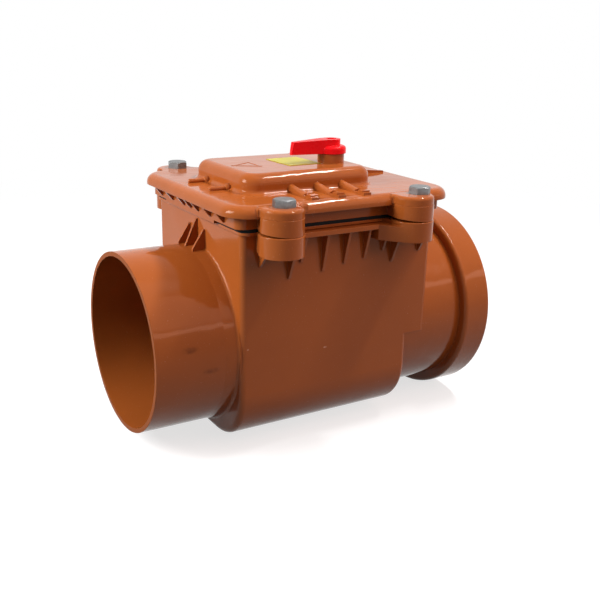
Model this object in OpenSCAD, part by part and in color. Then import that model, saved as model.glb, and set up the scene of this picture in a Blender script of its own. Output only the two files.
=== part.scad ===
// Backwater valve for a buried drain pipe: a moulded chamber with an outlet spigot and an
// inlet socket, a bolted lid, a hanging flap and a quarter-turn handle that locks the flap.
// Millimetres, +Z up. The origin is the centre of the outlet spigot's mouth, and +X runs
// along the pipe axis towards the inlet.

/* [Pipe ends] */
// Outside diameter of the drain pipe that the valve joins
pipe_d = 160; // [150:1:180]
// Wall of the outlet spigot
spigot_wall = 4; // [3:0.5:5]
// Length of the outlet spigot
spigot_l = 74; // [50:1:100]
// Length of the spigot's root, which carries the gussets and stops a pipe pushed on it
root_l = 12; // [8:0.5:16]
// Radial play between the socket and the pipe in it
socket_play = 0.4; // [0.3:0.1:0.8]
// Depth of the inlet socket
socket_l = 74; // [60:1:100]
// Wall of the plain part of the socket
socket_wall = 3.4; // [3:0.2:5]
// Length of the seal bead at the socket's mouth
bead_l = 31.5; // [28:0.5:40]
// Height of the seal bead above the socket's bore
bead_rise = 12.6; // [11:0.2:16]

/* [Chamber] */
// Length of the chamber above the step
box_l = 196.5; // [190:0.5:230]
// How much shorter the chamber is below the step
step_l = 21; // [15:0.5:24]
// Height of the step's underside, from the pipe axis
step_z = -6; // [-15:0.5:0]
// Wall of the chamber
wall = 4.5; // [3.5:0.5:6]
// How far the chamber's sides stand out past the pipe
side_out = 4; // [3.5:0.5:8]
// How far the chamber's floor lies below the pipe
floor_drop = 5; // [4:0.5:12]
// Radius of the floor's long corners
floor_r = 48; // [30:1:60]
// Radius of the chamber's upright edges
edge_r = 5; // [3:0.5:8]
// Height of the rim that carries the gasket, from the pipe axis
rim_z = 108.5; // [108:0.5:130]

/* [Rim, lugs and gussets] */
// Height of the rim's outward lip
rim_h = 2.5; // [2:0.5:5]
// How far the rim's lip stands out at the sides
rim_side = 4; // [3:0.5:6]
// How far the rim's lip stands out at the ends
rim_end = 1.5; // [1:0.5:4]
// How far the ledge between the lugs stands out
ledge_out = 13; // [8:0.5:16]
// Thickness of the ledge
ledge_t = 4; // [3:0.5:6]
// Radius of the bolt lugs
lug_r = 18.5; // [16.5:0.5:20]
// Height of the chamber's lugs
lug_h = 17.5; // [15:0.5:22]
// Distance of the bolts from the chamber's sides
bolt_out = 19.5; // [17:0.5:24]
// Distance of the first pair of bolts from the outlet end
bolt_in_out = 27.5; // [22:0.5:40]
// Distance of the second pair of bolts from the inlet end
bolt_in_in = 33; // [22:0.5:40]
// Thickness of the gussets
gusset_t = 2.5; // [2:0.5:4]
// Depth of the gussets under the ledge
gusset_h = 34; // [20:1:45]

/* [Lid] */
// Thickness of the gasket under the bolted lid
gasket_t = 3; // [2:0.5:5]
// Height of the lid from the gasket to the flange's top
lid_h = 20; // [16:0.5:26]
// Thickness of the flange's edge
flange_t = 9.5; // [6:0.5:12]
// How far the flange overhangs the chamber's ends
flange_end = 14.5; // [12:0.5:18]
// How far the flange overhangs the chamber's sides
flange_side = 15; // [12:0.5:18]
// Radius of the flange's corners
flange_r = 25; // [18:1:34]
// Radius of the flange's rounded top edge
flange_edge = 8; // [3:0.5:9]
// Thickness of the lid's top
lid_t = 5; // [3.5:0.5:6]
// Distance of the dome from the outlet end of the chamber
dome_in = 21; // [16:0.5:30]
// Length of the dome
dome_l = 131; // [125:1:150]
// Width of the dome
dome_w = 107; // [96:1:120]
// Height of the dome above the flange
dome_h = 16.5; // [13:0.5:24]
// Radius of the dome's upright corners
dome_r = 16; // [12:0.5:24]
// Radius of the dome's rounded top edge
dome_edge = 9; // [4:0.5:10]
// Pitch of the stiffening ribs along the dome
rib_pitch = 26; // [20:1:34]
// Width of the stiffening ribs
rib_w = 7.5; // [6:0.5:9]

/* [Bolts] */
// Thread diameter of the lid bolts
bolt_d = 10; // [8:1:10]
// Width across the flats of the bolt heads and nuts
bolt_af = 17; // [13:1:17]
// Height of the bolt heads
bolt_head_h = 6.4; // [5:0.1:8]
// Height of the nuts
nut_h = 8; // [6:0.5:9]

/* [Flap] */
// Slope of the seat from upright, in degrees
seat_tilt = 8; // [5:0.5:10]
// Distance of the seat's middle from the inlet end of the chamber
seat_in = 30.5; // [30:0.5:34]
// How much smaller the throat's radius is than the pipe's
throat_inset = 7; // [6:0.5:12]
// How much smaller the flap's radius is than the pipe's
flap_inset = 2; // [1.5:0.5:4]
// Thickness of the flap's plate
flap_t = 6; // [4:0.5:7]
// Thickness of the rubber flap seal
seal_t = 4.7; // [3:0.1:6]
// Height of the ribs on the flap's back
flap_rib_h = 6; // [3:0.5:7]
// Diameter of the flap's hinge pin
hinge_d = 8; // [6:0.5:10]
// Height of the hinge above the throat's edge, along the seat
hinge_up = 19; // [17:0.5:22]
// Distance of the hinge arms from the middle
arm_y = 44; // [38:1:48]
// Width of the hinge arms and their barrels
arm_w = 10; // [8:0.5:14]

/* [Lock] */
// Distance of the handle's shaft from the outlet end of the chamber
shaft_in = 128; // [124:0.5:130]
// Sideways place of the handle's shaft
shaft_y = -16; // [-20:0.5:-12]
// Diameter of the handle's shaft
shaft_d = 12; // [10:0.5:14]
// Diameter of the boss round the shaft
boss_d = 24.6; // [22:0.2:30]
// Height of the boss above the dome
boss_h = 8.4; // [6:0.2:14]
// Length of the handle from the shaft to its tip
handle_l = 43.5; // [35:0.5:60]
// Height of the handle's bar
handle_h = 12.6; // [11.5:0.1:18]
// Width of the handle's bar at the shaft
handle_w = 16.8; // [15.6:0.2:20]
// Width of the handle's bar at its tip
handle_tip_w = 5; // [4:0.5:9]
// Diameter of the handle's collar
collar_d = 27.6; // [26:0.2:34]
// Height of the handle's collar
collar_h = 6.8; // [5:0.2:9]
// Diameter of the locking arm's finger
finger_d = 7; // [6:0.5:8]
// Height of the flap's locking horn above the hinge
horn_h = 15.5; // [14:0.5:16]

/* [Label] */
// Length of the bare label plate along the pipe
label_l = 33; // [25:1:40]
// Width of the label plate
label_w = 41; // [35:1:54]
// Distance of the label plate from the boss
label_gap = 1.4; // [1:0.2:4]

/* [Fits] */
// Radial running clearance of the hinge pin and the shaft
run_fit = 0.05; // [0.02:0.01:0.1]
// Radial clearance of pieces that are fixed together
fix_fit = 0.02; // [0.01:0.01:0.05]
// Gap that keeps facing pieces apart
gap = 0.3; // [0.2:0.05:0.5]

/* [Hidden] */
$fn = 96;
eps = 0.01;

pvc = [0.78, 0.40, 0.22];
rubber = [0.06, 0.06, 0.07];
zinc = [0.62, 0.64, 0.65];
red = [0.83, 0.06, 0.08];
grey_plastic = [0.35, 0.36, 0.38];
yellow = [0.86, 0.80, 0.30];

pipe_r = pipe_d / 2;
root_r = pipe_r + 1.2;
half_w = pipe_r + side_out;
floor_z = -pipe_r - floor_drop;
low_l = box_l - step_l;
low_top = step_z + 20;
socket_r = pipe_r + socket_play;
neck_r = socket_r + socket_wall;
bead_r = socket_r + bead_rise;
socket_x = box_l + 0.5;
mouth_x = socket_x + socket_l;
groove_wall = 4.5;
groove_r = bead_r - groove_wall;
groove_l = bead_l / 2;
groove_x = mouth_x - bead_l * 0.8;

rim_x0 = -rim_end;
rim_x1 = box_l + rim_end;
rim_w = half_w + rim_side;
gasket_z = rim_z + gasket_t;
flange_z = gasket_z + lid_h;
lug_top = rim_z + 1;
lug_split = 0.2;
bolt_seat = flange_z - 0.3;
bolt_x = [bolt_in_out, box_l - bolt_in_in];
bolt_y = half_w + bolt_out;
bolt_turn = [[14, 10], [40, 25]];
nut_turn = 30;
lug_shift = [[-2, 1], [-7, 1]];
lug_edge = 0.8;
body_web = [[-13.5, 28], [-28, 20]];
lid_web = [[-15, 18], [-22, 16]];
parting_z = flange_z - 8;
skirt_over = 4;
bolt_hole_r = bolt_d / 2 + 0.5;
bolt_l = bolt_seat - lug_top + lug_h;
ledge_top = rim_z - 3;
mid_x = box_l / 2;

dome_x0 = dome_in;
dome_x1 = dome_in + dome_l;
dome_mid = (dome_x0 + dome_x1) / 2;
dome_z = flange_z + dome_h;

throat_r = pipe_r - throat_inset;
seat_w = 4;
flap_r = pipe_r - flap_inset;
seat_x = box_l - seat_in;
throat_x = seat_x - throat_r * tan(seat_tilt) - 2 * wall;
seal_in_r = throat_r - 7;
plate_x = -gap - seal_t;
back_x = plate_x - flap_t;
rib_x = back_x - flap_rib_h;
hinge_r = hinge_d / 2;
barrel_r = hinge_r + 2.5;
hinge_lx = -6;
hinge_lz = throat_r + hinge_up;
hinge_x = seat_x + hinge_lx * cos(seat_tilt) + hinge_lz * sin(seat_tilt);
hinge_z = hinge_lz * cos(seat_tilt) - hinge_lx * sin(seat_tilt);
ear_t = 6;
ear_r = barrel_r + 1;
ear_y = arm_y + arm_w / 2 + gap;
pin_l = ear_y + ear_t + 3;
clip_t = 1.5;
screw_r = 2;
screw_ring_r = seal_in_r - 4;
retainer_t = 3;

shaft_r = shaft_d / 2;
cross_pin_r = 1.5;
handle_screw_r = 2.5;
handle_screw_l = 14;
recess_h = 3.2;
recess_r = 4.8;
boss_top = dome_z + boss_h;
horn_t = 6;
horn_face_x = hinge_x + barrel_r * cos(seat_tilt) + horn_h * sin(seat_tilt);
arm_reach = horn_face_x + gap + finger_d / 2 - shaft_in;
finger_z = hinge_z + ear_r + 1.5;
arm_z = hinge_z + horn_h + 2;
arm_hub_h = 12;
arm_bar_h = 8;
washer_t = 1.2;
clip_z = arm_z + arm_hub_h + 1;
washer_z = clip_z + clip_t + gap;
inner_boss_z = washer_z + washer_t + gap;
handle_z = boss_top + gap;
shaft_top = handle_z + handle_h - 4.5;
shaft_foot = arm_z - 1;
seal_groove_z = [boss_top - 5, inner_boss_z + 6];

// Moves the pieces from the chamber's outlet end face to the spigot's mouth
module at_box() {
  translate([spigot_l, 0, 0]) children();
}

// Puts its pieces on the sloping seat: local X runs towards the inlet, local Z up the seat
module at_seat() {
  at_box() translate([seat_x, 0, 0]) rotate([0, seat_tilt, 0]) children();
}

// Puts its pieces on the handle's shaft
module at_shaft() {
  at_box() translate([shaft_in, shaft_y, 0]) children();
}

// A straight round piece along X
module rod_x(r, x0, x1) {
  translate([x0, 0, 0]) rotate([0, 90, 0]) cylinder(r = r, h = x1 - x0);
}

// Profile from the axis outwards, with a rounded top edge
module edge_profile(r, h, edge) {
  square([r, h - edge]);
  square([r - edge, h]);
  translate([r - edge, h - edge]) intersection() {
    circle(edge);
    square(edge);
  }
}

// The same profile to both sides of the axis
module slab_profile(half, h, edge) {
  edge_profile(half, h, edge);
  mirror([1, 0]) edge_profile(half, h, edge);
}

// A slab with rounded plan corners and a rounded top edge
module pillow(x0, x1, half, corner, z0, z1, edge) {
  h = z1 - z0;
  for (x = [x0 + corner, x1 - corner], s = [-1, 1])
    translate([x, s * (half - corner), z0]) rotate_extrude() edge_profile(corner, h, edge);
  translate([x0 + corner, 0, z0]) rotate([90, 0, 90])
    linear_extrude(x1 - x0 - 2 * corner) slab_profile(half, h, edge);
  translate([(x0 + x1) / 2, half - corner, z0]) rotate([90, 0, 0])
    linear_extrude(2 * (half - corner)) slab_profile((x1 - x0) / 2, h, edge);
}

// Plan outline with rounded corners
module plan(x0, x1, half, corner) {
  translate([x0 + corner, -half]) square([x1 - x0 - 2 * corner, 2 * half]);
  translate([x0, corner - half]) square([x1 - x0, 2 * (half - corner)]);
  for (x = [x0 + corner, x1 - corner], s = [-1, 1])
    translate([x, s * (half - corner)]) circle(corner);
}

// A trough with wide floor corners and rounded edges at both ends
module trough(x0, x1, half, z0, z1, corner, edge) {
  l = x1 - x0;
  translate([0, 0, z0 + corner]) linear_extrude(z1 - z0 - corner) plan(x0, x1, half, edge);
  translate([(x0 + x1) / 2, half - corner, z0 + corner]) rotate([90, 0, 0])
    linear_extrude(2 * (half - corner)) mirror([0, 1]) slab_profile(l / 2, corner, edge);
  for (s = [-1, 1])
    translate([x0, s * (half - corner), z0 + corner]) rotate([0, 90, 0]) rotate_extrude() {
      translate([0, edge]) square([corner, l - 2 * edge]);
      square([corner - edge, l]);
      for (y = [edge, l - edge]) translate([corner - edge, y]) circle(edge);
    }
}

// A triangular gusset across X: wall side at y = 0, growing out along -Y
module gusset(out, h) {
  rotate([90, 0, 90]) translate([0, 0, -gusset_t / 2]) linear_extrude(gusset_t)
    polygon([[eps * 100, 0], [-out, 0], [-out, -1.5], [-1.5, -h], [eps * 100, -h]]);
}

// Bolt places
module at_bolts() {
  for (x = bolt_x, s = [-1, 1]) translate([x, s * bolt_y, 0]) children();
}

// Point where a straight line from p touches a circle, on its left (-1) or right (1)
function touch(p, c, r, side) =
  let (d = p - c, a = atan2(d[1], d[0]) + side * acos(r / norm(d))) c + r * [cos(a), sin(a)];

// Puts its pieces at the bolts of pair i, with the wall on the -Y side
module at_pair(i) {
  for (m = [0, 1]) mirror([0, m, 0]) translate([bolt_x[i], bolt_y, 0]) children();
}

// Plan of the web that joins a lug to a wall at distance back
module web_plan(i, ends, r, back) {
  left = [ends[0], -back];
  right = [ends[1], -back];
  polygon([left, right, touch(right, lug_shift[i], r, 1), touch(left, lug_shift[i], r, -1)]);
}

// Rounded lug on its web
module lug(i, ends, r, back, h, edge) {
  translate(lug_shift[i]) rotate_extrude() edge_profile(r, h, edge);
  linear_extrude(h - edge) web_plan(i, ends, r, back);
}

function hex_r(af) = af / 2 / cos(30);

// Outside of the chamber with its pipe ends, ledges, lugs and gussets
module housing_outside() {
  trough(0, low_l, half_w, floor_z, low_top, floor_r, edge_r);
  translate([0, 0, step_z]) linear_extrude(rim_z - step_z) plan(0, box_l, half_w, edge_r);
  rod_x(pipe_r, -spigot_l, wall);
  spigot_root();
  rod_x(neck_r, low_l - wall, mouth_x - bead_l + 3);
  socket_bead();
  translate([0, 0, rim_z - rim_h]) linear_extrude(rim_h) plan(rim_x0, rim_x1, rim_w, edge_r + 3);
  for (m = [0, 1]) mirror([0, m, 0]) translate([bolt_x[0], half_w - 1, ledge_top - ledge_t])
    cube([bolt_x[1] - bolt_x[0], ledge_out + 1, ledge_t]);
  for (i = [0, 1]) translate([0, 0, lug_top - lug_h]) at_pair(i)
    lug(i, body_web[i], lug_r, bolt_out + 1, lug_h, lug_edge);
  lug_blocks();
  side_gussets();
  spigot_gussets();
}

// Thick end of the ledge beside the lugs of the inlet pair
module lug_blocks() {
  reach = 37;
  front = [-reach, ledge_out - bolt_out];
  translate([0, 0, lug_top - lug_h]) at_pair(1) linear_extrude(ledge_top - lug_top + lug_h)
    polygon([[-reach, -bolt_out - 1], [0, -bolt_out - 1], lug_shift[1], touch(front, lug_shift[1], lug_r, -1), front]);
}

// Space that the gasket takes between the lugs, with its gap
module gasket_space(z0, z1) {
  translate([0, 0, z0]) linear_extrude(z1 - z0)
    plan(rim_x0 - gap, rim_x1 + gap, rim_w + gap, edge_r + 3 + gap);
}

// Rounded bead that holds the socket's seal
module socket_bead() {
  translate([mouth_x - bead_l, 0, 0]) rotate([0, 90, 0]) rotate_extrude() {
    square([bead_r - 4, bead_l]);
    translate([0, 4]) square([bead_r, bead_l - 8]);
    for (y = [4, bead_l - 4]) translate([bead_r - 4, y]) circle(4);
  }
}

// Slightly thicker root of the spigot, where a pipe pushed on it stops, with a fillet to the wall
module spigot_root() {
  lead = 1;
  fillet = 2;
  lead_r = pipe_r - (root_r - pipe_r) * lead / root_l;
  translate([-root_l - lead, 0, 0]) rotate([0, 90, 0]) cylinder(r1 = lead_r, r2 = root_r, h = root_l + lead);
  translate([1, 0, 0]) rotate([0, -90, 0]) rotate_extrude() difference() {
    translate([pipe_r - 2, 0]) square([root_r - pipe_r + 2 + fillet, 1 + fillet]);
    translate([root_r + fillet, 1 + fillet]) circle(fillet);
  }
}

// Gussets under the ledges and the lugs: place from the middle and share of the full depth
module side_gussets() {
  ledge_gussets = [[-44, 0.7], [-22, 1], [0, 0.88], [21, 0.82], [41, 0.68]];
  lug_gussets = [[-83, 0.41], [-55.5, 0.8], [51.5, 0.73], [81.5, 0.53]];
  shift = 2;
  for (m = [0, 1]) mirror([0, m, 0]) translate([mid_x + shift, -half_w, 0]) {
    for (g = ledge_gussets)
      translate([g[0], 0, ledge_top - ledge_t]) gusset(ledge_out - 4, g[1] * gusset_h);
    for (g = lug_gussets)
      translate([g[0], 0, lug_top - lug_h]) gusset(bolt_out - 8, g[1] * gusset_h);
  }
}

module spigot_gussets() {
  pitch = 15;
  for (n = [-1, 0, 1]) {
    top = pipe_r + (n == 0 ? 24 : 17);
    translate([0, n * pitch + gusset_t / 2, 0]) rotate([90, 0, 0]) linear_extrude(gusset_t)
      polygon([[1, pipe_r - 4], [-root_l, pipe_r - 4], [-root_l, pipe_r + 0.5], [-1.5, top], [1, top]]);
  }
}

// Space inside the chamber
module chamber_space() {
  trough(wall, low_l - wall, half_w - wall, floor_z + wall, low_top, floor_r - wall, 3);
  translate([0, 0, step_z + wall]) linear_extrude(rim_z - step_z)
    plan(wall, box_l - wall, half_w - wall, 3);
}

// Inlet throat, cut off along the sloping seat
module throat() {
  difference() {
    at_box() rod_x(throat_r + seat_w, throat_x, socket_x);
    at_seat() translate([-pipe_d, -pipe_d, -pipe_d]) cube([pipe_d, 2 * pipe_d, 2 * pipe_d]);
  }
}

module hinge_ears() {
  for (s = [-1, 1])
    translate([hinge_x, s * (ear_y + ear_t / 2) + ear_t / 2, hinge_z]) rotate([90, 0, 0])
      linear_extrude(ear_t) {
        circle(ear_r);
        translate([0, -ear_r]) square([box_l - wall + 1 - hinge_x, 2 * ear_r]);
      }
}

// One-piece moulded housing
module housing_body() color(pvc) {
  difference() {
    union() {
      at_box() difference() {
        housing_outside();
        chamber_space();
        gasket_space(rim_z, lug_top + 1);
      }
      throat();
      at_box() hinge_ears();
    }
    at_box() {
      rod_x(pipe_r - spigot_wall, -spigot_l - 1, wall + 1);
      rod_x(throat_r, throat_x - 1, socket_x + 1);
      rod_x(socket_r, socket_x, mouth_x + 1);
      rod_x(groove_r, groove_x, groove_x + groove_l);
      translate([hinge_x, 0, hinge_z]) rotate([90, 0, 0])
        cylinder(r = hinge_r + run_fit, h = 2 * (ear_y + ear_t + 1), center = true);
      at_bolts() {
        translate([0, 0, lug_top - lug_h - 1]) cylinder(r = bolt_hole_r, h = lug_h + 2);
        translate([0, 0, lug_top - lug_h - 1]) rotate([0, 0, nut_turn])
          cylinder(r = hex_r(bolt_af + gap), h = nut_h + 1 + gap, $fn = 6);
      }
    }
  }
}

// Lip seal in the bead's groove, drawn as an inserted pipe presses it back
module inlet_seal_ring() color(rubber) at_box() translate([groove_x, 0, 0])
  rotate([0, 90, 0]) rotate_extrude()
    polygon([
      [socket_r + 2, gap], [groove_r - gap, gap], [groove_r - gap, groove_l - gap],
      [socket_r + 3, groove_l - gap], [socket_r, groove_l * 0.45], [socket_r, groove_l * 0.3]
    ]);

// Moulded lid
module lid() color(pvc) difference() {
  at_box() union() {
    translate([0, 0, gasket_z]) linear_extrude(lid_h - 2)
      plan(rim_x0 - skirt_over, rim_x1 + skirt_over, rim_w, edge_r + 3);
    skirt_lips();
    pillow(-flange_end, box_l + flange_end, half_w + flange_side, flange_r,
           flange_z - flange_t, flange_z, flange_edge);
    pillow(dome_x0, dome_x1, dome_w / 2, dome_r, flange_z - 2, dome_z, dome_edge);
    pillow_foot(dome_x0, dome_x1, dome_w / 2, dome_r, flange_z, 3.5);
    for (i = [0, 1]) translate([0, 0, lug_top + lug_split]) at_pair(i) lid_lug(i);
    lid_side_ribs();
    lid_end_ribs();
    lid_skirt_ribs();
    translate([shaft_in, shaft_y, inner_boss_z]) cylinder(d = boss_d, h = boss_top - inner_boss_z);
    flow_arrow();
  }
  at_box() difference() {
    union() {
      translate([0, 0, gasket_z - 1]) linear_extrude(lid_h - lid_t + 1)
        plan(wall, box_l - wall, half_w - wall, 3);
      pillow(dome_x0 + lid_t, dome_x1 - lid_t, dome_w / 2 - lid_t, dome_r - lid_t,
             gasket_z, dome_z - lid_t, dome_edge - lid_t);
    }
    translate([shaft_in, shaft_y, inner_boss_z]) cylinder(d = boss_d, h = dome_z);
  }
  at_box() gasket_space(lug_top, gasket_z);
  at_shaft() cylinder(r = shaft_r + run_fit, h = boss_top + 1);
  at_box() at_bolts() {
    cylinder(r = bolt_hole_r, h = bolt_seat + 1);
    translate([0, 0, bolt_seat]) cylinder(r = hex_r(bolt_af) + gap, h = flange_edge);
  }
  at_box() lug_gaps();
}

// Lug of the lid: plain below the parting line, a little smaller and rounded above it
module lid_lug(i) {
  foot = lug_top + lug_split;
  step = 0.5;
  top_edge = 6;
  lug(i, lid_web[i], lug_r - step, bolt_y - rim_w + 1, parting_z - foot, lug_edge / 2);
  translate(lug_shift[i]) rotate_extrude() edge_profile(lug_r - 2 * step, bolt_seat - foot, top_edge);
}

// Wedge that opens between the lugs of the lid and the chamber towards the outlet
module lug_gaps() {
  open_h = 2.7;
  open_l = 26;
  shut_x = -5;
  for (x = bolt_x, m = [0, 1]) mirror([0, m, 0])
    translate([x + shut_x, rim_w + gap, lug_top + lug_split]) rotate([90, 0, 0]) mirror([0, 0, 1])
      linear_extrude(2 * lug_r) polygon([[0, -1], [0, 0], [-open_l, open_h], [-open_l, -1]]);
}

// Profile from the axis outwards, with a hollow foot
module foot_profile(r, fillet) {
  difference() {
    translate([0, -1]) square([r + fillet, 1 + fillet]);
    translate([r + fillet, fillet]) circle(fillet);
  }
}

// Hollow fillet round the foot of a slab
module pillow_foot(x0, x1, half, corner, z, fillet) {
  for (x = [x0 + corner, x1 - corner], s = [-1, 1])
    translate([x, s * (half - corner), z]) rotate_extrude() foot_profile(corner, fillet);
  for (s = [0, 1]) {
    translate([x0 + corner, 0, z]) rotate([90, 0, 90]) linear_extrude(x1 - x0 - 2 * corner)
      mirror([s, 0]) foot_profile(half, fillet);
    translate([(x0 + x1) / 2, half - corner, z]) rotate([90, 0, 0]) linear_extrude(2 * (half - corner))
      mirror([s, 0]) foot_profile((x1 - x0) / 2, fillet);
  }
}

// Lips at both ends that hang in front of the gasket
module skirt_lips() {
  lip_t = 3;
  lip_y = [-45, 55];
  for (x = [rim_x0 - skirt_over, rim_x1 + skirt_over - lip_t])
    translate([x, lip_y[0], rim_z + gap]) cube([lip_t, lip_y[1] - lip_y[0], gasket_t]);
}

// Ribs from the dome's long sides: a rounded slope, a low saddle and a stepped end block
module lid_side_ribs() {
  r = rib_w / 2;
  shift = 3.4;
  slope = 7.5;
  slope_l = 28;
  root = dome_w / 2 - 3;
  tip = half_w + flange_side - flange_edge + 2;
  step = 2.5;
  block_l = 9;
  for (m = [0, 1], n = [-1, 0, 1]) mirror([0, m, 0])
    translate([dome_mid + shift + n * rib_pitch, root, flange_z]) {
      translate([0, 0, 3.2]) rotate([-90 - slope, 0, 0]) cylinder(r = r, h = slope_l);
      translate([-r, slope_l - 4, -1]) cube([rib_w, tip - root - slope_l, 2.2]);
      translate([-r, tip - root - block_l, -1]) cube([rib_w, block_l - step, 4.5]);
      translate([-r, tip - root - step - 1, -1]) cube([rib_w, step + 1, 3]);
    }
}

// Round bars with a knob at the dome's outlet end, and one sloping rib at its inlet end
module lid_end_ribs() {
  bar_r = 2.1;
  bar_y = 21;
  bar_tip = 3.5;
  knob_r = 3.8;
  rib_t = 5;
  for (s = [-1, 1]) translate([0, s * bar_y, flange_z + 1.4]) {
    rod_x(bar_r, bar_tip, dome_x0 + 4);
    translate([bar_tip, 0, 0]) sphere(bar_r);
    translate([dome_x0 - 1.5, 0, 0]) sphere(knob_r);
  }
  translate([0, rib_t / 2, flange_z]) rotate([90, 0, 0]) linear_extrude(rib_t)
    polygon([[dome_x1 - 4, -1], [box_l + 3, -1], [box_l + 3, 1.7], [dome_x1 - 4, 7]]);
}

// Small ribs between the skirt and the flange at both ends
module lid_skirt_ribs() {
  foot = rim_end + skirt_over;
  low = 2 - lid_h + flange_t;
  rib_y = [0, half_w * 0.17, half_w * 0.46, half_w * 0.75];
  for (y = rib_y, s = [-1, 1], m = [0, 1]) if (y > 0 || s > 0)
    translate([m * box_l, s * y + gusset_t / 2, flange_z - flange_t + eps * 10]) mirror([m, 0, 0])
      rotate([90, 0, 0]) linear_extrude(gusset_t)
        polygon([[1 - foot, 0], [1 - flange_end, 0], [-foot - 1, low], [1 - foot, low]]);
}

// Faintly raised arrow head on the dome that points with the flow
module flow_arrow() {
  arrow_l = 24;
  arrow_w = 26;
  rise = 0.3;
  translate([dome_x0 + 12, -1, dome_z - 1]) linear_extrude(1 + rise) difference() {
    polygon([[0, 0], [arrow_l, arrow_w / 2], [arrow_l, -arrow_w / 2]]);
    polygon([[4, 0], [arrow_l - 1.5, arrow_w / 2 - 3], [arrow_l - 1.5, 3 - arrow_w / 2]]);
  }
}

module lid_gasket() color(rubber) at_box() translate([0, 0, rim_z]) linear_extrude(gasket_t)
  difference() {
    plan(rim_x0, rim_x1, rim_w, edge_r + 3);
    plan(wall, box_l - wall, half_w - wall, 3);
  }

// Hexagon bolts with a chamfered head and a plain shank
module lid_bolts() color(zinc) at_box() for (i = [0, 1], m = [0, 1])
  translate([bolt_x[i], (2 * m - 1) * bolt_y, 0]) rotate([0, 0, bolt_turn[i][m]]) lid_bolt();

module lid_bolt() {
  chamfer = 1;
  translate([0, 0, bolt_seat]) intersection() {
    cylinder(r = hex_r(bolt_af), h = bolt_head_h, $fn = 6);
    union() {
      cylinder(r = hex_r(bolt_af), h = bolt_head_h - chamfer);
      translate([0, 0, bolt_head_h - chamfer])
        cylinder(r1 = hex_r(bolt_af), r2 = bolt_af / 2 - 0.5, h = chamfer);
    }
  }
  translate([0, 0, bolt_seat - bolt_l]) cylinder(r = bolt_d / 2 - fix_fit, h = bolt_l + eps);
}

module lid_nuts() color(zinc) at_box() at_bolts() translate([0, 0, lug_top - lug_h])
  difference() {
    rotate([0, 0, nut_turn]) cylinder(r = hex_r(bolt_af), h = nut_h, $fn = 6);
    translate([0, 0, -1]) cylinder(r = bolt_d / 2, h = nut_h + 2);
  }

// Flap: disc, clamping step, ribs, hinge arms and locking horn in one moulding
module flap_plate() color(grey_plastic) at_seat() difference() {
  union() {
    rod_x(flap_r, back_x, plate_x);
    rod_x(seal_in_r - fix_fit, plate_x - 1, -gap);
    difference() {
      rod_x(flap_r * 0.7, rib_x, back_x + 1);
      rod_x(flap_r * 0.7 - 4, rib_x - 1, back_x + 2);
    }
    for (y = [shaft_y, -shaft_y])
      translate([rib_x, y - 2, -flap_r * 0.65]) cube([flap_rib_h + 1, 4, flap_r * 1.3]);
    lock_horn();
    for (s = [-1, 1]) translate([0, s * arm_y, 0]) hinge_arm();
  }
  translate([hinge_lx, 0, hinge_lz]) rotate([90, 0, 0])
    cylinder(r = hinge_r + run_fit, h = 4 * arm_y, center = true);
  at_retainer_screws() rod_x(screw_r + fix_fit, back_x + 1, 10);
}

// Middle hinge arm with an upright horn: the locking finger stands behind it and stops its swing
module lock_horn() {
  translate([0, shaft_y, 0]) {
    hinge_arm();
    translate([hinge_lx + barrel_r - horn_t, -arm_w / 2, hinge_lz]) cube([horn_t, arm_w, horn_h]);
  }
}

module hinge_arm() {
  translate([hinge_lx, arm_w / 2, hinge_lz]) rotate([90, 0, 0]) cylinder(r = barrel_r, h = arm_w);
  translate([back_x, -arm_w / 2, flap_r * 0.6]) cube([flap_t, arm_w, hinge_lz - flap_r * 0.6]);
}

module at_retainer_screws() {
  count = 6;
  for (i = [0 : count - 1]) rotate([360 / count * i + 30, 0, 0]) translate([0, 0, screw_ring_r]) children();
}

module flap_seal() color(rubber) at_seat() difference() {
  rod_x(flap_r - 0.5, plate_x, -gap);
  rod_x(seal_in_r + gap / 2, plate_x - 1, 1);
}

module seal_retainer() color(zinc) at_seat() difference() {
  rod_x(throat_r - 2, -gap, retainer_t - gap);
  rod_x(screw_ring_r - 5, -1, retainer_t + 1);
  at_retainer_screws() rod_x(screw_r + 0.2, -1, retainer_t + 1);
}

module retainer_screws() color(zinc) at_seat() at_retainer_screws() {
  head_h = 2.4;
  rod_x(screw_r, back_x + 2, retainer_t - gap + eps);
  difference() {
    rod_x(2 * screw_r, retainer_t - gap, retainer_t - gap + head_h);
    translate([retainer_t + head_h - 1.4, -0.5, -2 * screw_r - 1]) cube([2, 1, 4 * screw_r + 2]);
  }
}

module hinge_pin() color(zinc) at_box() translate([hinge_x, 0, hinge_z]) rotate([90, 0, 0])
  cylinder(r = hinge_r, h = 2 * pin_l, center = true);

// Spring clips on the pin's ends
module hinge_pin_clips() color(zinc) at_box() for (s = [-1, 1])
  translate([hinge_x, s * (ear_y + ear_t + gap + clip_t / 2), hinge_z]) rotate([90, 0, 0])
    difference() {
      cylinder(r = hinge_r + 3, h = clip_t, center = true);
      cylinder(r = hinge_r + fix_fit, h = clip_t + 1, center = true);
    }

// Outline of the handle's bar: a round end on the shaft that tapers to a round tip
module handle_outline() {
  tip_r = handle_tip_w / 2;
  tip = [tip_r - handle_l, 0];
  circle(d = handle_w);
  translate(tip) circle(tip_r);
  polygon([
    touch([-2 * handle_l, 0], [0, 0], handle_w / 2, -1), touch([-2 * handle_l, 0], [0, 0], handle_w / 2, 1),
    tip + [0, -tip_r], tip + [0, tip_r]
  ]);
}

// Side view of the bar: the tip slants back, and the top rises to the shaft
module handle_side() {
  polygon([
    [-handle_l, 0], [handle_w, 0], [handle_w, handle_h], [-handle_w / 2, handle_h],
    [2.4 - handle_l, handle_h - 1.4]
  ]);
}

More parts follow.
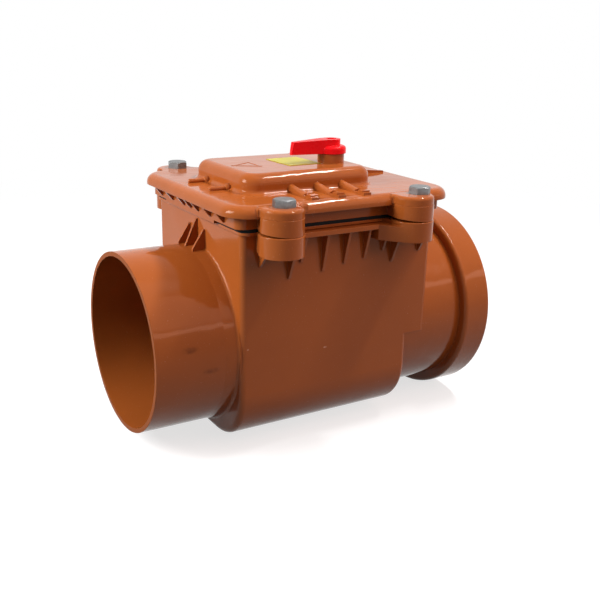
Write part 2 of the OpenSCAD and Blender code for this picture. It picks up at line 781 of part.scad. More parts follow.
// Lever that points along the pipe when the flap is free
module handle() color(red) at_shaft() translate([0, 0, handle_z]) difference() {
  union() {
    rotate_extrude() edge_profile(collar_d / 2, collar_h, 3);
    intersection() {
      linear_extrude(handle_h) handle_outline();
      rotate([90, 0, 0]) linear_extrude(2 * handle_w, center = true) handle_side();
    }
  }
  translate([0, 0, -1]) cylinder(r = shaft_r + fix_fit, h = shaft_top - handle_z + 1);
  cylinder(r = handle_screw_r + gap, h = handle_h + 1);
  translate([0, 0, handle_h - recess_h]) cylinder(r = recess_r, h = recess_h + 1);
}

// Pan-head screw in the handle's recess
module handle_screw() color(zinc) at_shaft() translate([0, 0, handle_z + handle_h - recess_h]) {
  head_h = 2.2;
  difference() {
    rotate_extrude() edge_profile(recess_r - 0.4, head_h, 1);
    for (a = [0, 90]) rotate([0, 0, a]) translate([-2.5, -0.5, head_h - 1]) cube([5, 1, 2]);
  }
  translate([0, 0, -handle_screw_l]) cylinder(r = handle_screw_r, h = handle_screw_l + eps);
}

module handle_shaft() color(zinc) at_shaft() difference() {
  translate([0, 0, shaft_foot]) cylinder(r = shaft_r, h = shaft_top - shaft_foot);
  for (z = seal_groove_z) translate([0, 0, z]) shaft_groove(3, 1.7);
  translate([0, 0, clip_z]) shaft_groove(clip_t, 1);
  translate([0, 0, shaft_top - handle_screw_l])
    cylinder(r = handle_screw_r + fix_fit, h = handle_screw_l + 1);
  translate([0, 0, arm_z + arm_hub_h / 2]) rotate([0, 90, 0])
    cylinder(r = cross_pin_r + fix_fit, h = 3 * shaft_d, center = true);
}

// Ring cut round the shaft
module shaft_groove(w, depth) {
  difference() {
    cylinder(r = shaft_r + 1, h = w);
    translate([0, 0, -1]) cylinder(r = shaft_r - depth, h = w + 2);
  }
}

// O-rings in the shaft's grooves
module shaft_seals() color(rubber) at_shaft() for (z = seal_groove_z) translate([0, 0, z + 1.5])
  rotate_extrude() translate([shaft_r - 0.85 + fix_fit / 2, 0]) circle(0.83, $fn = 32);

module shaft_washer() color(zinc) at_shaft() translate([0, 0, washer_z]) difference() {
  cylinder(d = boss_d - 2, h = washer_t);
  translate([0, 0, -1]) cylinder(r = shaft_r + gap, h = 4);
}

module shaft_clip() color(zinc) at_shaft() translate([0, 0, clip_z + 0.1]) {
  mouth = shaft_r - 1;
  difference() {
    cylinder(r = shaft_r + 3, h = clip_t - 0.2);
    translate([0, 0, -1]) cylinder(r = shaft_r - 1 + fix_fit, h = 4);
    translate([-mouth / 2, 0, -1]) cube([mouth, 3 * shaft_r, 4]);
  }
}

// Arm on the shaft's foot with a hanging finger; it points aside while the flap is free
module locking_arm() color(grey_plastic) at_shaft() difference() {
  union() {
    translate([0, 0, arm_z]) cylinder(r = shaft_r + 4.5, h = arm_hub_h);
    translate([-finger_d / 2, -arm_reach, arm_z]) cube([finger_d, arm_reach, arm_bar_h]);
    translate([0, -arm_reach, finger_z]) cylinder(d = finger_d, h = arm_z + arm_bar_h - finger_z);
  }
  translate([0, 0, arm_z - 1]) cylinder(r = shaft_r + fix_fit, h = arm_hub_h + 2);
  translate([0, 0, arm_z + arm_hub_h / 2]) rotate([0, 90, 0])
    cylinder(r = cross_pin_r + fix_fit, h = 6 * shaft_d, center = true);
}

module arm_cross_pin() color(zinc) at_shaft() translate([0, 0, arm_z + arm_hub_h / 2])
  rotate([0, 90, 0]) cylinder(r = cross_pin_r, h = 2 * (shaft_r + 4), center = true);

// Bare plate stuck on the dome beside the boss, a little askew
module label_plate() color(yellow) at_shaft() {
  side = -4.5;
  askew = 2.3;
  thick = 0.5;
  translate([-boss_d / 2 - label_gap, side, dome_z]) rotate([0, 0, askew]) linear_extrude(thick)
    translate([-label_l, 0]) square([label_l, label_w]);
}

housing_body();
inlet_seal_ring();
lid();
lid_gasket();
lid_bolts();
lid_nuts();
flap_plate();
flap_seal();
seal_retainer();
retainer_screws();
hinge_pin();
hinge_pin_clips();
handle();
handle_screw();
handle_shaft();
shaft_seals();
shaft_washer();
shaft_clip();
locking_arm();
arm_cross_pin();
label_plate();
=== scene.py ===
"""Finishes and studio for a moulded backwater valve with a bolted lid and a locking handle."""

import math
from typing import NamedTuple

import bmesh
import bpy
from mathutils import Matrix, Vector


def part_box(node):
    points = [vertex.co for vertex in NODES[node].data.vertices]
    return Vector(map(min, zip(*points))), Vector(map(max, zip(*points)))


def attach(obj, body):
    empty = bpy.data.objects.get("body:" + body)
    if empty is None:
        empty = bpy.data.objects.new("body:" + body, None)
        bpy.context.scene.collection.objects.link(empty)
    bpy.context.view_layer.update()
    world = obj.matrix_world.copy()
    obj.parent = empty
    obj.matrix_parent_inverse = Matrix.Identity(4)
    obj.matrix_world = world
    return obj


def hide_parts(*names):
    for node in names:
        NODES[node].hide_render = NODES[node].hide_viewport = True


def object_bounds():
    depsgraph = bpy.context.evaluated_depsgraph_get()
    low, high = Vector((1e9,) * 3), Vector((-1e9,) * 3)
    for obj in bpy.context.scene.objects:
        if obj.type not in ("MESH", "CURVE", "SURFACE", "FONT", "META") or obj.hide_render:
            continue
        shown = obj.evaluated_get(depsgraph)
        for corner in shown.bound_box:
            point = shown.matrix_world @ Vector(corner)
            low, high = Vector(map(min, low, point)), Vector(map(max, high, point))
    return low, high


bl_info = {
    "name": "Backwater valve finish",
    "version": (1, 0, 0),
    "blender": (4, 5, 0),
    "location": "3D View > Sidebar > Valve",
    "description": "Finishes the pieces of a backwater valve and sets up its studio",
    "category": "Object",
}

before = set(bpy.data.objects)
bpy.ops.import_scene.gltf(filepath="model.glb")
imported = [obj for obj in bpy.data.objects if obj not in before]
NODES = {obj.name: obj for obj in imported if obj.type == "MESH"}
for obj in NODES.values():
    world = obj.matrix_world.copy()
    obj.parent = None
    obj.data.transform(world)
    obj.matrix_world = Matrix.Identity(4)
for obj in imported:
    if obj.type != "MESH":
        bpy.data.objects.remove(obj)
CAD_LOW, CAD_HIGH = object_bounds()
MIDDLE = (CAD_LOW + CAD_HIGH) / 2
MM = 0.001


def colour_property(name, description, default):
    return bpy.props.FloatVectorProperty(
        name=name, description=description, default=default, subtype="COLOR", size=3, min=0, max=1
    )


def length_property(name, description, default):
    return bpy.props.FloatProperty(
        name=name, description=description, default=default, unit="LENGTH", precision=5
    )


def point_property(name, description, default):
    return bpy.props.FloatVectorProperty(
        name=name, description=description, default=default, subtype="TRANSLATION", unit="LENGTH", size=3
    )


class ValveFinish(bpy.types.PropertyGroup):
    """Colours and small sizes of the valve's surfaces."""

    pvc: colour_property("Moulded PVC", "Orange-brown of the housing and the lid", (0.33, 0.082, 0.0155))
    pvc_sheen: colour_property("PVC sheen", "Tint of the gloss on the housing and the lid", (1.0, 0.80, 0.66))
    dust: colour_property("Dust", "Pale tone of the dust and the gate marks on the PVC", (0.62, 0.33, 0.20))
    handle_red: colour_property("Handle", "Red of the lever", (0.74, 0.004, 0.008))
    rubber: colour_property("Rubber", "Black of the gasket and the seals", (0.008, 0.008, 0.0075))
    talc: colour_property("Talc", "Grey of the talc on the rubber", (0.04, 0.037, 0.034))
    zinc: colour_property("Zinc plate", "Grey of the plated bolts and nuts", (0.20, 0.205, 0.205))
    steel: colour_property("Stainless steel", "Grey of the hinge pin and the shaft", (0.55, 0.55, 0.54))
    flap_grey: colour_property("Flap plastic", "Grey of the flap and the locking arm", (0.10, 0.105, 0.115))
    label_yellow: colour_property("Label film", "Dull yellow of the bare label", (0.43, 0.385, 0.05))
    edge_round: length_property(
        "Edge round", "Radius at which small moulded edges catch the light", 0.5 * MM
    )
    fastener_round: length_property(
        "Fastener round", "Radius at which the plated edges catch the light", 0.3 * MM
    )


class ValveDetail(bpy.types.PropertyGroup):
    """Sizes of the lug caps and of the fasteners."""

    flange_half: length_property("Flange half width", "From the middle to the flange's long edge", 99 * MM)
    cap_radius: length_property("Cap radius", "Round front of the caps on the lid's lugs", 17.7 * MM)
    cap_height: length_property("Cap height", "From the caps' foot to just above the bolts' seat", 7.7 * MM)
    cap_round: length_property("Cap round", "Rounding of the caps' upper edge", 3 * MM)
    cap_skin: length_property("Cap skin", "How far the caps stand above the bolts' seat", 0.05 * MM)
    cap_out: length_property("Cap place out", "How far a cap's middle lies outside its bolt", 1 * MM)
    outlet_back: length_property(
        "Outlet caps back", "From the bolts of the outlet pair to the middles of their caps", 2 * MM
    )
    inlet_back: length_property(
        "Inlet caps back", "From the bolts of the inlet pair to the middles of their caps", 7 * MM
    )
    wide_hollow: length_property(
        "Wide hollow", "Hollow fillet on the inner side of the outlet pair's caps", 10 * MM
    )
    small_hollow: length_property("Small hollow", "Hollow fillet on the other sides of the caps", 2 * MM)
    thread_pitch: length_property("Thread pitch", "Pitch of the bolts' thread", 1.5 * MM)
    thread_depth: length_property("Thread depth", "Height of the thread's ridge", 0.45 * MM)


class ValveStudio(bpy.types.PropertyGroup):
    """Camera, light and floor."""

    camera_at: point_property("Camera place", "Where the camera stands", (-0.2426, -0.6850, 0.2705))
    look_at: point_property("Aim", "Point in the middle of the picture", (0.1826, 0.0, 0.01234))
    roll: bpy.props.FloatProperty(
        name="Roll", description="Turn of the camera about its view", default=math.radians(1.44),
        subtype="ANGLE",
    )
    lens: bpy.props.FloatProperty(
        name="Lens", description="Focal length on a 36 mm sensor", default=52.17, unit="CAMERA"
    )
    warm_light: colour_property("Warm light", "Tint of the lamps in front", (1.0, 0.66, 0.57))
    sky: bpy.props.FloatProperty(
        name="Sky", description="Strength of the even light", default=0.28, min=0
    )
    floor_tone: colour_property(
        "Floor", "Tone that the floor's own light and shade adds", (0.38, 0.38, 0.38)
    )
    floor_bounce: colour_property(
        "Floor bounce", "Tone of the light that the floor sends up", (0.10, 0.095, 0.09)
    )
    floor_glow: bpy.props.FloatProperty(
        name="Floor glow", description="White that the floor shows in full shade", default=0.70,
        subtype="FACTOR", min=0, max=1,
    )
    floor_near: length_property("Floor near", "Distance up to which the floor shows its shade", 0.52)
    floor_reach: length_property("Floor reach", "Distance at which the floor is plain white", 1.3)
    floor_half: length_property("Floor half width", "From the middle of the floor to its edge", 6.0)
    floor_gap: length_property("Floor gap", "How far the floor lies below the valve", 0.2 * MM)


class NodeMaker:
    """Adds nodes to a tree and wires them up."""

    def __init__(self, tree):
        self.tree = tree

    def add(self, kind, settings=None, **inputs):
        """Adds a node. Inputs are named with _ for a space."""
        node = self.tree.nodes.new(kind)
        for key, value in (settings or {}).items():
            setattr(node, key, value)
        for key, value in inputs.items():
            self.feed(node.inputs[key.replace("_", " ")], value)
        return node

    def first(self, kind, settings=None, **inputs):
        """Adds a node and gives its first output."""
        return self.add(kind, settings, **inputs).outputs[0]

    def feed(self, socket, value):
        """Links a socket to a source or to each of a list of sources, or sets its value."""
        for source in value if isinstance(value, list) else [value]:
            if isinstance(source, bpy.types.NodeSocket):
                self.tree.links.new(source, socket)
            else:
                socket.default_value = source

    def math(self, operation, a, b):
        node = self.add("ShaderNodeMath", {"operation": operation})
        self.feed(node.inputs[0], a)
        self.feed(node.inputs[1], b)
        return node.outputs["Value"]

    def remap(self, value, given, wanted, smooth=False):
        """Maps one range of values to another and holds the ends."""
        return self.first(
            "ShaderNodeMapRange", {"interpolation_type": "SMOOTHSTEP" if smooth else "LINEAR"}, Value=value,
            From_Min=given[0], From_Max=given[1], To_Min=wanted[0], To_Max=wanted[1],
        )

    def choose(self, factor, near, far):
        """Mixes two shaders: the near one at a factor of 0, the far one at 1."""
        node = self.add("ShaderNodeMixShader", Fac=factor)
        self.feed(node.inputs[1], near)
        self.feed(node.inputs[2], far)
        return node.outputs[0]


def scaled(colour, factor):
    return tuple(min(1.0, c * factor) for c in colour)


class MaterialMaker(NodeMaker):
    """A node material under construction, with short calls for the nodes that the finishes share."""

    def __init__(self, name):
        self.material = bpy.data.materials.new(name)
        self.material.use_nodes = True
        super().__init__(self.material.node_tree)
        self.tree.nodes.clear()
        self.shader = self.add("ShaderNodeBsdfPrincipled")
        self.add("ShaderNodeOutputMaterial", Surface=self.shader.outputs["BSDF"])
        self.place = self.add("ShaderNodeTexCoord").outputs["Object"]

    def surface(self, **values):
        """Sets or links sockets of the shader, named as in base_color, and gives the finished material."""
        for key, value in values.items():
            self.feed(self.shader.inputs[key.replace("_", " ").title().replace("Ior", "IOR")], value)
        return self.material

    def noise(self, scale, detail, roughness=0.55, stretch=None):
        """Noise on the piece's own coordinates, with the axes scaled by stretch."""
        source = self.place
        if stretch:
            source = self.first("ShaderNodeMapping", Vector=source, Scale=stretch)
        return self.first(
            "ShaderNodeTexNoise", Vector=source, Scale=scale, Detail=detail, Roughness=roughness
        )

    def along(self, axis):
        """Place along one axis of the piece."""
        return self.add("ShaderNodeSeparateXYZ", Vector=self.place).outputs[axis]

    def mix(self, factor, a, b):
        """Mixes two colours, each a socket or a colour."""
        node = self.add("ShaderNodeMix", {"data_type": "RGBA"}, Factor=factor)
        for socket, value in zip((node.inputs[6], node.inputs[7]), (a, b)):
            self.feed(socket, value if isinstance(value, bpy.types.NodeSocket) else (*value, 1))
        return node.outputs[2]

    def mottled(self, base, noise, darker, lighter, low=0.3):
        """A base colour that noise makes darker or lighter by these factors."""
        return self.mix(self.remap(noise, (low, 0.7), (0, 1)), scaled(base, darker), scaled(base, lighter))

    def bump(self, height, strength, distance, normal=None):
        node = self.add("ShaderNodeBump", Strength=strength, Distance=distance, Height=height)
        if normal is not None:
            self.feed(node.inputs["Normal"], normal)
        return node.outputs["Normal"]

    def soft_edges(self, radius):
        return self.first("ShaderNodeBevel", {"samples": 6}, Radius=radius)

    def smudge(self, place, half_sizes, scale, most):
        """A soft blotch of the given half sizes at a place, broken up by noise."""
        centred = self.first(
            "ShaderNodeMapping", Vector=self.place, Location=tuple(-p / h for p, h in zip(place, half_sizes)),
            Scale=tuple(1 / h for h in half_sizes),
        )
        apart = self.add("ShaderNodeVectorMath", {"operation": "LENGTH"})
        self.feed(apart.inputs[0], centred)
        inside = self.remap(apart.outputs["Value"], (0.3, 1.0), (most, 0), smooth=True)
        return self.math("MULTIPLY", inside, self.remap(self.noise(scale, detail=4), (0.32, 0.6), (0, 1)))


# Places and half sizes of the dark scuffs on the spigot and of the gate marks on the chamber's side.
SCUFFS = (
    ((30 * MM, -79 * MM, 14 * MM), (10 * MM, 6 * MM, 4 * MM)),
    ((49 * MM, -80 * MM, -7 * MM), (11 * MM, 6 * MM, 3.5 * MM)),
)
GATE_MARKS = (
    ((80.4 * MM, -84 * MM, 7.3 * MM), (1.3 * MM, 1.3 * MM, 1.1 * MM)),
    ((157.8 * MM, -84 * MM, -3.8 * MM), (2.6 * MM, 1.3 * MM, 1.2 * MM)),
)
# The spigot's end face gets painted shade and a matt finish: fully up to the first place along the pipe, not
# at all from the second.
END_SHADE_SPAN = (CAD_LOW.x + 0.05 * MM, CAD_LOW.x + 0.3 * MM)


def moulded_pvc(finish):
    """Glossy moulded PVC: flow clouds, dust, hair scratches, scuffs, gate marks, and painted shade with a
    matt finish on the spigot's end face.
    """
    made = MaterialMaker("moulded_pvc")
    base, dust = tuple(finish.pvc), tuple(finish.dust)
    tone = made.mottled(base, made.noise(9, detail=4), 0.93, 1.07)
    tone = made.mix(made.remap(made.noise(700, detail=2), (0.68, 0.78), (0, 0.35)), tone, dust)
    for place, half_sizes in SCUFFS:
        tone = made.mix(made.smudge(place, half_sizes, scale=130, most=0.7), tone, scaled(base, 0.45))
    for place, half_sizes in GATE_MARKS:
        tone = made.mix(made.smudge(place, half_sizes, scale=500, most=0.8), tone, dust)
    # Painted shade: the spigot's end face is darkened, and the same mask makes it matt.
    end_shade_and_matt = made.remap(made.along("X"), END_SHADE_SPAN, (0.6, 0))
    tone = made.mix(end_shade_and_matt, tone, scaled(base, 0.4))
    scratches = made.noise(60, detail=6, roughness=0.7, stretch=(1, 9, 9))
    rough = made.math("MAXIMUM", made.remap(scratches, (0.35, 0.75), (0.07, 0.13)), end_shade_and_matt)
    edges = made.soft_edges(finish.edge_round)
    wavy = made.bump(made.noise(26, detail=2), strength=0.18, distance=4 * MM, normal=edges)
    peel = made.bump(made.noise(260, detail=2), strength=0.05, distance=0.4 * MM, normal=wavy)
    return made.surface(
        base_color=tone, roughness=rough, normal=peel, specular_ior_level=0.155,
        specular_tint=(*finish.pvc_sheen, 1),
    )


def gloss_red(finish):
    """Glossy red moulding with a finger-worn sheen."""
    made = MaterialMaker("gloss_red")
    tone = made.mottled(tuple(finish.handle_red), made.noise(45, detail=3), 0.94, 1.08)
    rough = made.remap(made.noise(220, detail=5, roughness=0.65), (0.3, 0.75), (0.22, 0.38))
    edges = made.soft_edges(finish.edge_round)
    grain = made.bump(made.noise(900, detail=2), strength=0.05, distance=0.3 * MM, normal=edges)
    return made.surface(base_color=tone, roughness=rough, normal=grain, specular_ior_level=0.1)


def matt_rubber(finish):
    """Matt rubber with talc dust."""
    made = MaterialMaker("matt_rubber")
    talc = made.remap(made.noise(420, detail=5, roughness=0.7), (0.52, 0.8), (0, 0.12))
    tone = made.mix(talc, tuple(finish.rubber), tuple(finish.talc))
    rough = made.remap(made.noise(90, detail=4), (0.3, 0.7), (0.55, 0.8))
    grain = made.bump(made.noise(1400, detail=3), strength=0.25, distance=0.2 * MM)
    return made.surface(base_color=tone, roughness=rough, normal=grain, specular_ior_level=0.1)


def zinc_plate(finish):
    """Dull, blotchy zinc plating with edges that catch the light."""
    made = MaterialMaker("zinc_plate")
    blotch = made.noise(330, detail=6, roughness=0.7)
    tone = made.mottled(tuple(finish.zinc), blotch, 0.72, 1.12, low=0.35)
    rough = made.remap(made.noise(800, detail=4, roughness=0.6), (0.3, 0.7), (0.30, 0.52))
    edges = made.soft_edges(finish.fastener_round)
    grain = made.bump(made.noise(1600, detail=4), strength=0.22, distance=0.2 * MM, normal=edges)
    return made.surface(base_color=tone, roughness=rough, normal=grain, metallic=0.9)


def turned_steel(finish):
    """Turned stainless steel with fine streaks."""
    made = MaterialMaker("turned_steel")
    streaks = made.noise(500, detail=4, roughness=0.6, stretch=(0.1, 1, 1))
    tone = made.mottled(tuple(finish.steel), streaks, 0.85, 1.05, low=0.35)
    rough = made.remap(streaks, (0.3, 0.7), (0.2, 0.38))
    grain = made.bump(streaks, strength=0.1, distance=0.1 * MM)
    return made.surface(base_color=tone, roughness=rough, normal=grain, metallic=1.0)


def flap_plastic(finish):
    """Dark grey moulded plastic."""
    made = MaterialMaker("flap_plastic")
    tone = made.mottled(tuple(finish.flap_grey), made.noise(30, detail=4), 0.85, 1.15)
    rough = made.remap(made.noise(160, detail=4), (0.3, 0.7), (0.35, 0.5))
    edges = made.soft_edges(finish.edge_round)
    grain = made.bump(made.noise(1100, detail=2), strength=0.12, distance=0.2 * MM, normal=edges)
    return made.surface(base_color=tone, roughness=rough, normal=grain)


def label_film(finish):
    """Sun-dulled yellow film."""
    made = MaterialMaker("label_film")
    fade = made.noise(60, detail=5, roughness=0.65)
    tone = made.mottled(tuple(finish.label_yellow), fade, 0.88, 1.1)
    rough = made.remap(made.noise(240, detail=4), (0.3, 0.7), (0.32, 0.5))
    grain = made.bump(made.noise(300, detail=3), strength=0.15, distance=0.3 * MM)
    return made.surface(base_color=tone, roughness=rough, normal=grain, specular_ior_level=0.15)


MAKERS = {
    "moulded_pvc": moulded_pvc,
    "gloss_red": gloss_red,
    "matt_rubber": matt_rubber,
    "zinc_plate": zinc_plate,
    "turned_steel": turned_steel,
    "flap_plastic": flap_plastic,
    "label_film": label_film,
}
FINISHES = {}


def finish_named(name):
    """The finish of that name, made on first use."""
    if name not in FINISHES:
        FINISHES[name] = MAKERS[name](bpy.context.scene.valve_finish)
    return FINISHES[name]


def dress(piece, finish):
    """Gives a piece one finish."""
    piece.data.materials.clear()
    piece.data.materials.append(finish_named(finish))


def add_object(name, data):
    """A new object in the scene, at the origin."""
    made = bpy.data.objects.new(name, data)
    bpy.context.scene.collection.objects.link(made)
    return made


class ValvePieceOperator:
    """Shared by the operators that finish CAD nodes as they are."""

    bl_options = {"REGISTER", "UNDO"}
    finishes = {}

    def execute(self, context):
        for node, finish in self.finishes.items():
            dress(NODES[node], finish)
        return {"FINISHED"}


class VALVE_OT_mouldings(ValvePieceOperator, bpy.types.Operator):
    """Finish the moulded housing and its lid"""

    bl_idname = "valve.mouldings"
    bl_label = "Housing and lid"
    finishes = {"housing_body": "moulded_pvc", "lid": "moulded_pvc"}


class VALVE_OT_seals(ValvePieceOperator, bpy.types.Operator):
    """Finish the rubber gasket and seals"""

    bl_idname = "valve.seals"
    bl_label = "Gasket and seals"
    finishes = {
        "lid_gasket": "matt_rubber",
        "inlet_seal_ring": "matt_rubber",
        "flap_seal": "matt_rubber",
        "shaft_seals": "matt_rubber",
    }


# Corner radius of a hexagon, and radius of the flat left by its chamfer, as shares of its width across flats.
CORNER = 0.5 / math.cos(math.radians(30))
FLAT = 0.47
CHAMFER = math.radians(30)
ROUND_SIDES = 24
CONE_SIDES = 48
THREAD_STEPS = 18
RIDGE_SIDES = 3


class FastenerTree(NodeMaker):
    """A geometry node tree that makes a fastener from named sizes and puts a copy on each point."""

    def __init__(self, name, sizes):
        super().__init__(bpy.data.node_groups.new(name, "GeometryNodeTree"))
        face = self.tree.interface
        face.new_socket("Geometry", in_out="INPUT", socket_type="NodeSocketGeometry")
        for size in sizes:
            face.new_socket(size, in_out="INPUT", socket_type="NodeSocketFloat")
        face.new_socket("Finish", in_out="INPUT", socket_type="NodeSocketMaterial")
        face.new_socket("Geometry", in_out="OUTPUT", socket_type="NodeSocketGeometry")
        self.given = self.add("NodeGroupInput").outputs
        self.sizes = [self.given[size] for size in sizes]

    def raised(self, mesh, height, flip=False):
        """Moves a mesh up by a height, turned over first if asked."""
        offset = self.first("ShaderNodeCombineXYZ", Z=height)
        turn = (math.pi, 0, 0) if flip else (0, 0, 0)
        return self.first("GeometryNodeTransform", Geometry=mesh, Translation=offset, Rotation=turn)

    def sunk(self, mesh, depth):
        return self.raised(mesh, self.math("MULTIPLY", depth, -1))

    def rod(self, sides, radius, length):
        """A cylinder that stands on the origin."""
        made = self.first("GeometryNodeMeshCylinder", Vertices=sides, Radius=radius, Depth=length)
        return self.raised(made, self.math("MULTIPLY", length, 0.5))

    def hexagon(self, across, height):
        return self.rod(6, self.math("MULTIPLY", across, CORNER), height)

    def chamfer_cone(self, across, height):
        """A wide cone whose top circle cuts the corners off a hexagon's upper face."""
        top = self.math("MULTIPLY", across, FLAT)
        foot = self.math("ADD", top, self.math("MULTIPLY", height, 1 / math.tan(CHAMFER)))
        return self.first(
            "GeometryNodeMeshCone", Vertices=CONE_SIDES, Radius_Top=top, Radius_Bottom=foot, Depth=height
        )

    def boolean(self, operation, **meshes):
        settings = {"operation": operation, "solver": "MANIFOLD"}
        return self.first("GeometryNodeMeshBoolean", settings, **meshes)

    def spread(self, mesh):
        """Puts a copy of the mesh on each point, turned by its own angle, and ends the tree."""
        turn = self.first("GeometryNodeInputNamedAttribute", {"data_type": "FLOAT"}, Name="turn")
        angles = self.first("ShaderNodeCombineXYZ", Z=turn)
        copies = self.first(
            "GeometryNodeInstanceOnPoints", Points=self.given["Geometry"], Instance=mesh, Rotation=angles
        )
        solid = self.first("GeometryNodeRealizeInstances", Geometry=copies)
        dressed = self.first("GeometryNodeSetMaterial", Geometry=solid, Material=self.given["Finish"])
        self.add("NodeGroupOutput", Geometry=dressed)
        return self.tree


def hex_bolt_tree():
    """Chamfered hexagon head with a threaded shank below."""
    made = FastenerTree("hex_bolts", ("Across", "Head", "Shank", "Length", "Pitch", "Depth"))
    across, head, shank, length, pitch, depth = made.sizes
    top = made.boolean("INTERSECT", Mesh_2=[made.hexagon(across, head), made.chamfer_cone(across, head)])
    core = made.math("SUBTRACT", shank, depth)
    rod = made.rod(ROUND_SIDES, core, length)
    helix = made.first(
        "GeometryNodeCurveSpiral", Resolution=THREAD_STEPS, Rotations=made.math("DIVIDE", length, pitch),
        Start_Radius=core, End_Radius=core, Height=length,
    )
    ridge = made.first("GeometryNodeCurvePrimitiveCircle", Resolution=RIDGE_SIDES, Radius=depth)
    thread = made.first("GeometryNodeCurveToMesh", Curve=helix, Profile_Curve=ridge, Fill_Caps=True)
    pieces = [top, made.sunk(rod, length), made.sunk(thread, length)]
    return made.spread(made.first("GeometryNodeJoinGeometry", Geometry=pieces))


def hex_nut_tree():
    """Hexagon nut, chamfered on both faces, with its bore."""
    made = FastenerTree("hex_nuts", ("Across", "Height", "Bore"))
    across, height, bore = made.sizes
    cone = made.chamfer_cone(across, height)
    under = made.raised(cone, height, flip=True)
    outside = made.boolean("INTERSECT", Mesh_2=[made.hexagon(across, height), cone, under])
    hole = made.sunk(made.rod(ROUND_SIDES, bore, made.math("MULTIPLY", height, 3)), height)
    return made.spread(made.boolean("DIFFERENCE", Mesh_1=outside, Mesh_2=hole))


def grow(name, tree, places, turns, sizes, finish):
    """Runs a node tree on a few points and keeps the result as a plain mesh at the origin."""
    seeds = bpy.data.meshes.new(name)
    seeds.from_pydata(places, [], [])
    seeds.attributes.new("turn", "FLOAT", "POINT").data.foreach_set("value", turns)
    piece = bpy.data.objects.new(name, seeds)
    modifier = piece.modifiers.new("make", "NODES")
    modifier.node_group = tree
    values = {**sizes, "Finish": finish_named(finish)}
    for socket in tree.interface.items_tree:
        if socket.in_out == "INPUT" and socket.name in values:
            modifier[socket.identifier] = values[socket.name]
    bpy.context.scene.collection.objects.link(piece)
    graph = bpy.context.evaluated_depsgraph_get()
    made = bpy.data.meshes.new_from_object(piece.evaluated_get(graph), depsgraph=graph)
    piece.modifiers.clear()
    piece.data = made
    return piece


# A fastener's hexagon is what lies further out than this share of its corner radius.
HEXAGON_SHARE = 0.8


class CornerFastener:
    """What a CAD node says of its fastener at one corner of the lid, in metres."""

    def __init__(self, points):
        low = Vector(map(min, zip(*points)))
        high = Vector(map(max, zip(*points)))
        self.axis = (low + high) / 2
        self.foot, self.top = low.z, high.z
        reach = [((p - self.axis).xy, p.z) for p in points]
        corner, _ = max(reach, key=lambda r: r[0].length)
        self.across = corner.length / CORNER
        self.turn = math.atan2(corner.y, corner.x)
        self.seat = min(z for spoke, z in reach if spoke.length > HEXAGON_SHARE * corner.length)
        self.core = min(spoke.length for spoke, _ in reach)


def corner_fasteners(node):
    """The fasteners of a CAD node, one at each corner of the lid."""
    low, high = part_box(node)
    middle = (low + high) / 2
    corners = {}
    for vertex in NODES[node].data.vertices:
        key = (vertex.co.x > middle.x, vertex.co.y > middle.y)
        corners.setdefault(key, []).append(vertex.co.copy())
    return [CornerFastener(corners[key]) for key in sorted(corners)]


class VALVE_OT_fasteners(bpy.types.Operator):
    """Make the lid's hexagon bolts and nuts"""

    bl_idname = "valve.fasteners"
    bl_label = "Bolts and nuts"
    bl_options = {"REGISTER", "UNDO"}

    def execute(self, context):
        detail = context.scene.valve_detail
        bolts = corner_fasteners("lid_bolts")
        first = bolts[0]
        sizes = {
            "Across": first.across,
            "Head": first.top - first.seat,
            "Shank": first.core,
            "Length": first.seat - first.foot,
            "Pitch": detail.thread_pitch,
            "Depth": detail.thread_depth,
        }
        places = [(b.axis.x, b.axis.y, b.seat) for b in bolts]
        made = grow("hex_bolts", hex_bolt_tree(), places, [b.turn for b in bolts], sizes, "zinc_plate")
        self.stand_for(made, "lid_bolts")
        nuts = corner_fasteners("lid_nuts")
        first = nuts[0]
        sizes = {"Across": first.across, "Height": first.top - first.foot, "Bore": first.core}
        places = [(n.axis.x, n.axis.y, n.foot) for n in nuts]
        made = grow("hex_nuts", hex_nut_tree(), places, [n.turn for n in nuts], sizes, "zinc_plate")
        self.stand_for(made, "lid_nuts")
        return {"FINISHED"}

    def stand_for(self, piece, node):
        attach(piece, "housing")
        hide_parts(node)


FRONT_STEPS = 40
HOLLOW_STEPS = 8
ROUND_STEPS = 5


def arc(centre, radius, start, stop, steps):
    """Points along an arc in plan."""
    angles = [start + (stop - start) * k / steps for k in range(steps + 1)]
    return [centre + radius * Vector((math.cos(a), math.sin(a))) for a in angles]


def cap_outline(edge, centre, radius, hollows):
    """Plan of a cap that grows out of the flange's edge at y = edge, with a hollow fillet on each side."""
    leans, stretches = [], []
    for side, hollow in zip((-1, 1), hollows):
        rise = edge + hollow - centre.y
        hub = centre + Vector((side * math.sqrt((radius + hollow) ** 2 - rise**2), rise))
        lean = math.atan2(-rise, centre.x - hub.x) % (2 * math.pi)
        foot = 1.5 * math.pi
        if side < 0:
            lean = (lean + math.pi) % (2 * math.pi) - math.pi
            foot = -0.5 * math.pi
        leans.append(lean)
        stretches.append(arc(hub, hollow, foot, lean, HOLLOW_STEPS))
    left, right = stretches
    front = arc(centre, radius, leans[0] + math.pi, leans[1] - math.pi, FRONT_STEPS)
    root = edge - radius / 2
    return [Vector((left[0].x, root)), *left, *front[1:-1], *right[::-1], Vector((right[0].x, root))]


